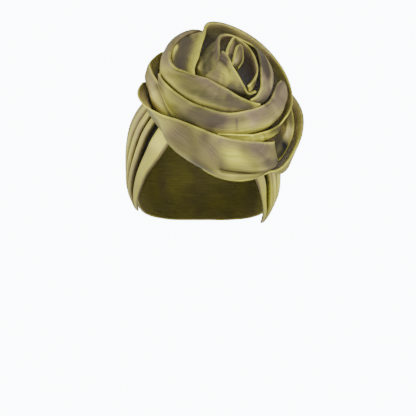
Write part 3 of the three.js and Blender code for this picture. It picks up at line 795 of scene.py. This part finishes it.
# Its shade strokes paint light and shade into the cloth's colour.
inner_front = band("petal_inner_front_cloth", [
    (97, 69, 31, 69, 26, 56),
    (104, 67.5, 36, 69, 30, 55.5),
    (114, 65.2, 41, 69.5, 33, 54),
    (131, 62.5, 45, 68.5, 35, 51),
    (147, 60, 48, 66.5, 37, 48),
    (160, 57, 50.5, 64, 38, 46),
    (170, 50, 52, 62, 39, 44),
    (176, 38, 53, 59.5, 40, 37),
    (192, 21, 54, 50, 41.5, 19),
    (230, 15.5, 54.5, 34.5, 43, 14),
    (262, 17, 54, 32, 43.5, 14),
    (290, 25, 52.5, 33, 43.5, 14),
    (305, 33, 50.5, 35.5, 43, 22),
    (314, 38, 48, 37, 42, 27),
], hem=[(97, 1.8), (110, 2.6), (135, 2.6), (158, 1.6), (176, 0.9), (314, 0.9)], seed=11, weft=0.52,
    folds=[
        (172, 0.95, 200, 0.8, 7, -1.4), (185, 0.97, 230, 0.9, 3, 0.6), (205, 0.95, 212, 0.8, 2, -0.5),
        (228, 0.97, 236, 0.8, 2.5, -0.5), (262, 0.7, 268, 0.8, 1, -0.4),
    ],
    shades=[
        (170, 0.85, 184, 0.66, 8, -0.35, 0.12), (178, 0.97, 262, 0.97, 5, 0.3, -0.12),
        (198, 0.76, 235, 0.76, 8, -0.2, 0.05), (205, 0.83, 292, 0.87, 7, 0.1, -0.25),
        (215, 0.79, 262, 0.81, 4, 0.1, -0.22), (225, 0.86, 240, 0.85, 8, 0.2, -0.08),
        (258, 0.88, 300, 0.93, 5, 0.15, -0.55), (268, 0.88, 286, 0.9, 4, 0.1, -0.25),
        (186, 0.85, 202, 0.83, 4, 0, 0.12), (215, 0.69, 290, 0.76, 3.5, 0, 0.35),
        (190, 0.74, 215, 0.78, 6, 0.1, -0.12), (285, 0.95, 310, 0.97, 3, -0.3, 0.15),
        (172, 0.6, 200, 0.55, 5, 0, -0.4), (174, 0.85, 190, 0.8, 8, 0.1, -0.12),
        (105, 0.95, 158, 0.95, 8, 0.4, -0.15), (158, 0.85, 166, 0.8, 6, -0.1, 0.15),
        (148, 0.93, 170, 0.91, 5, 0, 0.2),
    ])
put_on(inner_front)

# The heart: a spiral band wound round the middle, a small ring inside it and a folded tab in the centre.
# They are rolled by hand from the end of the same taffeta, with the raw end tucked in, and stitched at the foot.
# Its shade and inside strokes paint light and shade into the cloth's colour.
heart_wrap = band("petal_heart_wrap_cloth", [
    (316, 27.6, 51.5, 25, 47, 12, 328),
    (308, 24.4, 54, 22, 48, 10, 308),
    (298, 16, 56.5, 18.5, 49, 10, 313),
    (280, 9.2, 58, 15, 50, 9, 328),
    (258, 5, 59.5, 13.5, 50, 9, 383),
    (236, 7.3, 60, 12.5, 49, 9, 432),
    (212, 17.2, 60, 13, 48, 9, 450),
    (190, 25.2, 59, 16.5, 47, 10, 460),
    (172, 18.4, 56.6, 20.5, 45, 12, 464.5),
    (160, 12.8, 53.4, 23.5, 44, 14, 486),
    (150, 22, 54.5, 30, 43, 18, 466.4),
    (128, 35.7, 52.5, 35.5, 41, 23, 456.4),
    (108, 48.5, 51, 42.5, 39, 29, 450.7),
    (95, 52.3, 50, 46, 40, 32, 445.4),
    (82, 51.5, 50.3, 52, 43, 36, 438),
    (66, 48.5, 50.5, 52, 44.5, 37, 426),
    (48, 46.5, 50.5, 52.8, 44, 37, 408),
    (32, 38.4, 51, 51, 43.5, 37, 392),
    (16, 32.8, 51, 48.5, 43, 36, 376),
    (0, 30.4, 50.5, 44.5, 42.5, 35, 360),
    (-17, 30.2, 50, 40.8, 42, 29, 343),
    (-38, 29.6, 49.5, 35, 42, 23, 322),
    (-53, 28, 48.5, 31, 41, 18, 307),
], hem=[(-53, 1.1), (30, 0.9), (80, 0.8), (95, 1.5), (150, 1.5), (165, 0.8), (298, 0.7), (308, 1.1), (316, 1.5)],
    seed=12, step=0.6,
    folds=[
        (123, 0.9, 140, 0.72, 2.5, -1.6), (135, 0.92, 158, 0.75, 2, -1.4), (128, 0.92, 150, 0.72, 2, 0.8),
        (108, 0.9, 125, 0.75, 2.5, -1.2), (138, 0.81, 162, 0.8, 1.4, -1), (190, 0.9, 232, 0.93, 1.6, -1),
        (192, 0.85, 230, 0.88, 2.5, 0.6), (60, 0.9, 0, 0.9, 3, -0.8),
    ],
    shades=[
        (-25, 0.85, 60, 0.88, 14, 0.45, 0.15), (54, 0.93, 12, 0.9, 5, 0, -0.75),
        (48, 0.99, 26, 0.99, 2.5, 0.1, -0.4), (-28, 0.9, -44, 0.92, 4, 0.1, -0.25), (8, 0.94, 2, 0.94, 3, 0, 0.3),
        (68, 1, 58, 1, 3, -0.2, 0.35), (40, 0.83, -8, 0.83, 1.4, -0.3, 0.2), (-15, 0.83, -46, 0.88, 4, 0.1, -0.45),
        (292, 0.94, 308, 0.96, 4, 0.2, -0.3), (100, 0.98, 150, 0.98, 2.5, 0.5, -0.1),
        (188, 0.94, 208, 0.93, 5, 0.5, -0.42), (214, 0.84, 250, 0.84, 6, -0.4, 0.12),
        (108, 0.85, 150, 0.8, 10, 0.1, -0.34), (138, 0.81, 162, 0.8, 1.4, 0.1, -0.4),
        (118, 0.9, 158, 0.87, 3, 0.1, -0.22), (130, 0.7, 155, 0.66, 3, 0, 0.5),
        (258, 0.78, 302, 0.88, 5, 0.25, -0.6), (225, 0.76, 270, 0.78, 4, 0.2, -0.25),
        (190, 0.72, 202, 0.7, 5, 0.2, -0.2),
    ],
    inside=[
        (-20, 0.9, 55, 0.9, 7, 0.1), (105, 0.93, 70, 0.93, 5, 0.2), (298, 0.97, 316, 0.97, 4, 1.6),
    ])
put_on(heart_wrap)

# Its shade and inside strokes paint light and shade into the cloth's colour.
heart_ring = band("heart_ring_cloth", [
    (90, 22, 55, 20, 44, 14),
    (85.5, 30, 54.5, 29, 42, 16),
    (80, 40.5, 54, 36, 41, 19),
    (77, 46.5, 54, 39, 40.5, 20),
    (74.5, 47.6, 54, 40, 40, 21),
    (70, 46, 54, 39.5, 40, 22),
    (61, 43.5, 54, 38, 40, 23),
    (45, 37.5, 54.5, 34, 41, 23),
    (30, 32.5, 54.5, 31, 41, 22),
    (14, 28.5, 54.5, 29, 42, 21),
    (-12, 22, 54.5, 25, 43, 19),
    (-36, 18.5, 54, 22, 43, 18),
], hem=[(-36, 1.3), (-5, 1.2), (14, 0.7), (76, 0.7), (80, 1.3), (92, 1.7)], seed=13, wave=0.15, step=0.6,
    shades=[
        (-10, 0.8, 60, 0.8, 10, 0.35, -0.05), (84, 0.95, 79, 0.9, 3, -0.2, 0.4),
        (-36, 0.92, -28, 0.92, 4, -0.2, 0.8), (-22, 0.97, -14, 0.97, 3, 0.1, -0.4),
    ],
    inside=[
        (72, 0.94, 46, 0.9, 8, -0.5), (50, 0.58, 25, 0.58, 9, -0.3), (80, 0.86, 77, 0.8, 4, 1.2),
        (42, 0.95, 12, 0.93, 4, 0.6), (0, 0.95, -36, 0.95, 4, 0.5), (-36, 0.93, -30, 0.95, 5, 1.8),
    ])
put_on(heart_ring)

# Its shade and inside strokes paint light and shade into the cloth's colour.
heart_fold = band("heart_fold_cloth", [
    (82, 12.5, 57, 9, 48, 5, 72.7),
    (78, 22.8, 57.5, 12, 49, 5, 72),
    (73, 33, 58, 15, 50, 6, 71.5),
    (70, 36, 58, 16, 50, 6, 69.5),
    (65, 37, 58, 17, 50, 6, 66.5),
    (60, 36.3, 58, 17, 50, 6, 63.6),
    (54, 30, 57.5, 15, 49, 6, 57.5),
    (46, 22, 57, 12, 48, 6, 48.5),
    (38, 12, 56, 9, 47, 6, 44),
], hem=[(40, 0.8), (66, 0.8), (74, 1.2)], seed=14, wave=0.1, step=0.6,
    shades=[
        (70, 0.9, 55, 0.9, 12, -0.15, 0.15), (50, 0.97, 44, 0.95, 4, 0.2, -0.6),
    ],
    inside=[
        (66, 0.76, 52, 0.74, 5, 0.5), (66, 0.97, 50, 0.95, 6, -0.6),
    ])
put_on(heart_fold)

# The studio: a pale round floor well below the head tie, a large soft light on each side in front, a weak one between
# them, white all round, and a camera with a long lens a little above the level of the cap's lower rim.
FLOOR_Z, FLOOR_RADIUS, FLOOR_SIDES = -0.3, 0.45, 96
LIT_AT = Vector((0, -0.06, 0.06))
ROOM_TINT, ROOM_GLOW, ROOM_SEEN = (0.9, 0.95, 1, 1), 1.4, 12
SENSOR_WIDE, CAMERA_AWAY, VIEW_WIDE = 36, 1.8, 0.416
floor_turns = np.linspace(0, 2 * np.pi, FLOOR_SIDES + 1)[:-1]
floor_ring = [(FLOOR_RADIUS * np.cos(a), FLOOR_RADIUS * np.sin(a), FLOOR_Z) for a in floor_turns]
floor_mesh = bpy.data.meshes.new("floor")
floor_mesh.from_pydata(floor_ring, [], [tuple(range(FLOOR_SIDES))])
floor = bpy.data.objects.new("floor", floor_mesh)
bpy.context.scene.collection.objects.link(floor)
pale = bpy.data.materials.new("pale_paper")
pale.use_nodes = True
paper = pale.node_tree.nodes["Principled BSDF"]
paper.inputs["Base Color"].default_value = (0.85, 0.85, 0.85, 1)
paper.inputs["Roughness"].default_value = 0.9
floor_mesh.materials.append(pale)


def soft_light(name, place, size, power):
    """A round lamp of that size in metres and power in watts, aimed at the head tie."""
    lamp = bpy.data.lights.new(name, "AREA")
    lamp.shape = "DISK"
    lamp.size = size
    lamp.energy = power
    light = bpy.data.objects.new(name, lamp)
    light.location = place
    light.rotation_euler = (LIT_AT - Vector(place)).to_track_quat("-Z", "Y").to_euler()
    bpy.context.scene.collection.objects.link(light)


soft_light("key", (-1.3, -1.1, 0.25), 0.8, 27)
soft_light("fill", (1.4, -1.0, 0.05), 0.8, 27)
soft_light("front", (0.1, -1.9, 0.1), 0.5, 10)

world = bpy.data.worlds.new("white_room")
world.use_nodes = True
ray = world.node_tree.nodes.new("ShaderNodeLightPath")
glow = map_range(world.node_tree, ray.outputs["Is Camera Ray"], 0, 1, ROOM_GLOW, ROOM_SEEN)
room = world.node_tree.nodes["Background"]
world.node_tree.links.new(glow, room.inputs["Strength"])
room.inputs["Color"].default_value = ROOM_TINT
bpy.context.scene.world = world

lens = bpy.data.cameras.new("camera")
lens.sensor_width = SENSOR_WIDE
lens.lens = SENSOR_WIDE * CAMERA_AWAY / VIEW_WIDE
camera = bpy.data.objects.new("camera", lens)
camera.location = (0.0044, -CAMERA_AWAY, -0.036)
camera.rotation_euler = (np.pi / 2, 0, 0)
bpy.context.scene.collection.objects.link(camera)
bpy.context.scene.camera = camera
